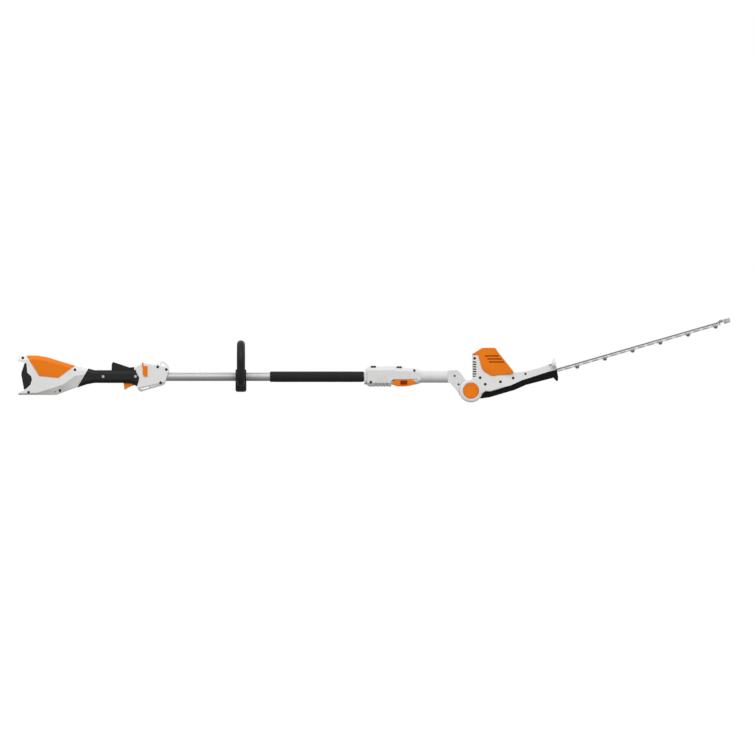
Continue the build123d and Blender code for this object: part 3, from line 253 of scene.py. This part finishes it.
MATERIALS = {
    "white_plastic": moulded("white_plastic", (0.89, 0.89, 0.88), (0.34, 0.46), 0.9 * MM, 0.03 * MM, 0.95),
    # The orange slots and louvres take a painted shade down to 0.55 of their colour.
    "orange_plastic": moulded("orange_plastic", (0.98, 0.23, 0.003), (0.36, 0.5), 0.9 * MM, 0.03 * MM, 0.9,
                              crevice_shade=0.55, Specular_IOR_Level=0.2),
    "grey_plastic": moulded("grey_plastic", (0.82, 0.82, 0.815), (0.36, 0.48), 0.9 * MM, 0.03 * MM, 0.95),
    "black_plastic": moulded("black_plastic", (0.017, 0.018, 0.018), (0.45, 0.6), 0.8 * MM, 0.08 * MM, 0.75,
                             Specular_IOR_Level=0.25),
    "red_plastic": moulded("red_plastic", (0.34, 0.032, 0.003), (0.4, 0.5), 0.8 * MM, 0.04 * MM, 0.85,
                           Specular_IOR_Level=0.15),
    "foam": foam_material("foam"),
    "cable_rubber": moulded("cable_rubber", (0.02, 0.02, 0.021), (0.5, 0.65), 0.5 * MM, 0.03 * MM, 0.8),
    "aluminium": brushed("aluminium", (0.58, 0.58, 0.585), (0.42, 0.54), ALONG_SHAFT, 0.02 * MM, 0.92, 0.6),
    "silver_paint": painted("silver_paint", (0.77, 0.77, 0.77), (0.42, 0.52), 0.9 * MM, 0.02 * MM,
                            Specular_IOR_Level=0.25),
    "black_screw": painted("black_screw", (0.018, 0.018, 0.018), (0.34, 0.5), 0.4 * MM, 0.02 * MM),
    "grey_screw": painted("grey_screw", (0.13, 0.13, 0.135), (0.34, 0.5), 0.4 * MM, 0.02 * MM),
    "bright_steel": brushed("bright_steel", (0.72, 0.72, 0.71), (0.2, 0.35), EVEN, 0.01 * MM, 0.9),
    "motor_paint": painted("motor_paint", (0.03, 0.03, 0.032), (0.35, 0.5), 0.7 * MM, 0.02 * MM),
    "blade_steel": brushed("blade_steel", (0.84, 0.84, 0.83), (0.26, 0.42), ACROSS_BLADE, 0.02 * MM, 0.9, 0.35),
    "bar_steel": brushed("bar_steel", (0.3, 0.3, 0.3), (0.36, 0.5), ALONG_SHAFT, 0.02 * MM, 0.85, 0.8),
    "tip_metal": brushed("tip_metal", (0.72, 0.72, 0.7), (0.34, 0.5), EVEN, 0.05 * MM, 0.88),
    "brass": brushed("brass", (0.78, 0.55, 0.2), (0.22, 0.35), EVEN, 0.01 * MM, 0.88),
    "board": board_material("board"),
}

WEAR_STRIP = moulded("wear_strip", (0.006, 0.006, 0.006), (0.5, 0.65), 0.8 * MM, 0.08 * MM, 0.75,
                     Specular_IOR_Level=0.12)


def dress_cad_nodes():
    """Every CAD node takes the material of its slot in the record; the bumper is a deeper black."""
    for part in record["subparts"]:
        node = frame["nodes"][part["node"]]
        node.data.materials.clear()
        node.data.materials.append(MATERIALS[part["material_slot"]])
    bumper = frame["nodes"]["bumper"].data.materials
    bumper.clear()
    bumper.append(WEAR_STRIP)


# --- foam sleeve --------------------------------------------------------------------------

FOAM_OUTER_SHARE = 0.992
FOAM_CLEARANCE = 0.1 * MM
FOAM_LIP = 3.2 * MM
FOAM_PINCH, FOAM_PINCH_LENGTH = 0.35 * MM, 9 * MM
FOAM_STEPS, FOAM_LIP_STEPS, FOAM_SEGMENTS = 110, 8, 96
FOAM_WOBBLE, FINE_SHARE = 0.006, 0.4
COARSE_PER_METRE, FINE_PER_METRE = 55, 190


def revolved(bm, profile, segments, wobble):
    """A closed ring of revolution about X through (x, radius) points, its radius varied by a slow noise."""
    rings = []
    for x, radius in profile:
        ring = []
        for k in range(segments):
            turn = 2 * math.pi * k / segments
            point = Vector((x, radius * math.cos(turn), radius * math.sin(turn)))
            sway = noise.noise(point * COARSE_PER_METRE) + FINE_SHARE * noise.noise(point * FINE_PER_METRE)
            point.y *= 1 + wobble * sway
            point.z *= 1 + wobble * sway
            ring.append(bm.verts.new(point))
        rings.append(ring)
    for a, b in zip(rings, rings[1:] + rings[:1]):
        for k in range(segments):
            bm.faces.new((a[k], a[(k + 1) % segments], b[(k + 1) % segments], b[k]))
    bmesh.ops.recalc_face_normals(bm, faces=bm.faces)


def foam_profile(low_x, high_x, inner, outer):
    """Section of the sleeve as (x, radius) points: round lips, and a slight pinch near both ends."""
    length = high_x - low_x
    skin = []
    for k in range(1, FOAM_STEPS):
        near, far = k / FOAM_STEPS * length, (1 - k / FOAM_STEPS) * length
        pinch = FOAM_PINCH * (math.exp(-near / FOAM_PINCH_LENGTH) + math.exp(-far / FOAM_PINCH_LENGTH))
        skin.append((low_x + FOAM_LIP + (length - 2 * FOAM_LIP) * k / FOAM_STEPS, outer - pinch))
    left = []
    for k in range(FOAM_LIP_STEPS, -1, -1):
        turn = math.pi / 2 * k / FOAM_LIP_STEPS
        left.append((low_x + FOAM_LIP * (1 - math.sin(turn)), outer - FOAM_LIP + FOAM_LIP * math.cos(turn)))
    right = [(high_x + low_x - x, radius) for x, radius in reversed(left)]
    return [(low_x, inner)] + left + skin + right + [(high_x, inner)]


def foam_sleeve():
    """The foam sleeve: a slack skin with soft rounded ends that pulls in a little where it grips the tube."""
    low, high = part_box("foam_sleeve")
    tube_low, tube_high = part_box("rear_tube")
    centre = (low + high) / 2
    outer = (high.y - low.y) / 2 * FOAM_OUTER_SHARE
    inner = (tube_high.y - tube_low.y) / 2 + FOAM_CLEARANCE
    bm = bmesh.new()
    revolved(bm, foam_profile(low.x, high.x, inner, outer), FOAM_SEGMENTS, FOAM_WOBBLE)
    piece = mesh_object("foam_grip", bm, MATERIALS["foam"])
    piece.location = (0, centre.y, centre.z)
    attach(piece, "pole")
    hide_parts("foam_sleeve")


# --- stage, light and camera --------------------------------------------------------------

FLOOR_HALF = 60.0
FLOOR_GAP = 20 * MM
FLOOR_GLOW = 0.72

# Brightness of the room from straight below (0) to straight above (1), level with the object at a half.
ROOM_LEVELS = ((0.0, 0.2), (0.32, 0.32), (0.5, 0.66), (0.7, 0.66), (1.0, 0.55))

SOFTBOX_WIDTH, SOFTBOX_DEPTH = 6.0, 3.0
SOFTBOX_AWAY, SOFTBOX_UP = 2.8, 2.7
KEY_POWER, BACK_POWER = 96, 52

LENS, SENSOR = 500, 36
FIELD_SHARE = 1.0609
AIM_SHIFT = Vector((0.0084, 0, -0.0023))
CLIP_END = 200


def floor_level():
    """Just below the blade tip when the head swings straight down, as the machine hangs at working height."""
    axle_low, axle_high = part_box("pivot_axle")
    pivot = (axle_low + axle_high) / 2
    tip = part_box("tip_guard")[1]
    return pivot.z - math.hypot(tip.x - pivot.x, tip.z - pivot.z) - FLOOR_GAP


def floor_material():
    """White paper with hardly any shade in it."""
    finish = Finish("floor_paper", Specular_IOR_Level=0.0, Emission_Color=(1, 1, 1, 1),
                    Emission_Strength=FLOOR_GLOW)
    finish.colour(finish.noise(0.9), (NOISE_LOW, NOISE_HIGH), ((0.5, 0.5, 0.5), (0.52, 0.52, 0.52)))
    finish.rough(finish.noise(0.4), 0.8, 0.95)
    return finish.material


def white_floor():
    """A wide pale floor that adds no light of its own to the object."""
    bm = bmesh.new()
    bmesh.ops.create_grid(bm, x_segments=1, y_segments=1, size=FLOOR_HALF)
    floor = mesh_object("floor", bm, floor_material(), smooth=False)
    floor.location = (0, 0, floor_level())
    floor.visible_diffuse = False
    floor.visible_glossy = False


def studio_world():
    """A white room: bright at the sides, dimmer below, and plain white where the camera looks past the object."""
    world = bpy.data.worlds.new("studio")
    bpy.context.scene.world = world
    world.use_nodes = True
    nodes, links = world.node_tree.nodes, world.node_tree.links
    nodes.clear()
    place = nodes.new("ShaderNodeTexCoord")
    split = nodes.new("ShaderNodeSeparateXYZ")
    links.new(place.outputs["Generated"], split.inputs["Vector"])
    up = nodes.new("ShaderNodeMapRange")
    up.inputs["From Min"].default_value = -1.0
    links.new(split.outputs["Z"], up.inputs["Value"])
    ramp = nodes.new("ShaderNodeValToRGB")
    elements = ramp.color_ramp.elements
    while len(elements) < len(ROOM_LEVELS):
        elements.new(0.5)
    for element, (stop, level) in zip(elements, ROOM_LEVELS):
        element.position = stop
        element.color = (level, level, level, 1)
    links.new(up.outputs["Result"], ramp.inputs["Fac"])
    room = nodes.new("ShaderNodeBackground")
    links.new(ramp.outputs["Color"], room.inputs["Color"])
    backdrop = nodes.new("ShaderNodeBackground")
    backdrop.inputs["Color"].default_value = (1, 1, 1, 1)
    path = nodes.new("ShaderNodeLightPath")
    mix = nodes.new("ShaderNodeMixShader")
    links.new(path.outputs["Is Camera Ray"], mix.inputs["Fac"])
    links.new(room.outputs["Background"], mix.inputs[1])
    links.new(backdrop.outputs["Background"], mix.inputs[2])
    out = nodes.new("ShaderNodeOutputWorld")
    links.new(mix.outputs["Shader"], out.inputs["Surface"])


def softbox(name, where, aim, power):
    """A large soft lamp at a place, turned to a point and not seen by the camera."""
    light = bpy.data.lights.new(name, "AREA")
    light.shape = "RECTANGLE"
    light.size, light.size_y = SOFTBOX_WIDTH, SOFTBOX_DEPTH
    light.energy = power
    lamp = bpy.data.objects.new(name, light)
    bpy.context.scene.collection.objects.link(lamp)
    lamp.location = where
    lamp.visible_camera = False
    lamp.rotation_euler = (aim - where).to_track_quat("-Z", "Y").to_euler()


def lights():
    """A key lamp on the camera's side and a weaker one behind, both above the object's middle."""
    low, high = cad_bounds
    aim = Vector(((low.x + high.x) / 2, 0, 0))
    softbox("key", aim + Vector((0, -SOFTBOX_AWAY, SOFTBOX_UP)), aim, KEY_POWER)
    softbox("back", aim + Vector((0, SOFTBOX_AWAY, SOFTBOX_UP)), aim, BACK_POWER)


def camera():
    """A long lens square to the pole, with the whole machine across the frame."""
    low, high = cad_bounds
    data = bpy.data.cameras.new("camera")
    data.lens, data.sensor_width = LENS, SENSOR
    data.clip_end = CLIP_END
    view = bpy.data.objects.new("camera", data)
    bpy.context.scene.collection.objects.link(view)
    distance = (high.x - low.x) * FIELD_SHARE * LENS / SENSOR
    aim = Vector(((low.x + high.x) / 2 + AIM_SHIFT.x, 0, AIM_SHIFT.z))
    view.location = aim + Vector((0, -distance, 0))
    view.rotation_euler = (math.pi / 2, 0, 0)
    bpy.context.scene.camera = view


dress_cad_nodes()
foam_sleeve()
white_floor()
studio_world()
lights()
camera()
bpy.context.scene.view_settings.view_transform = "Standard"
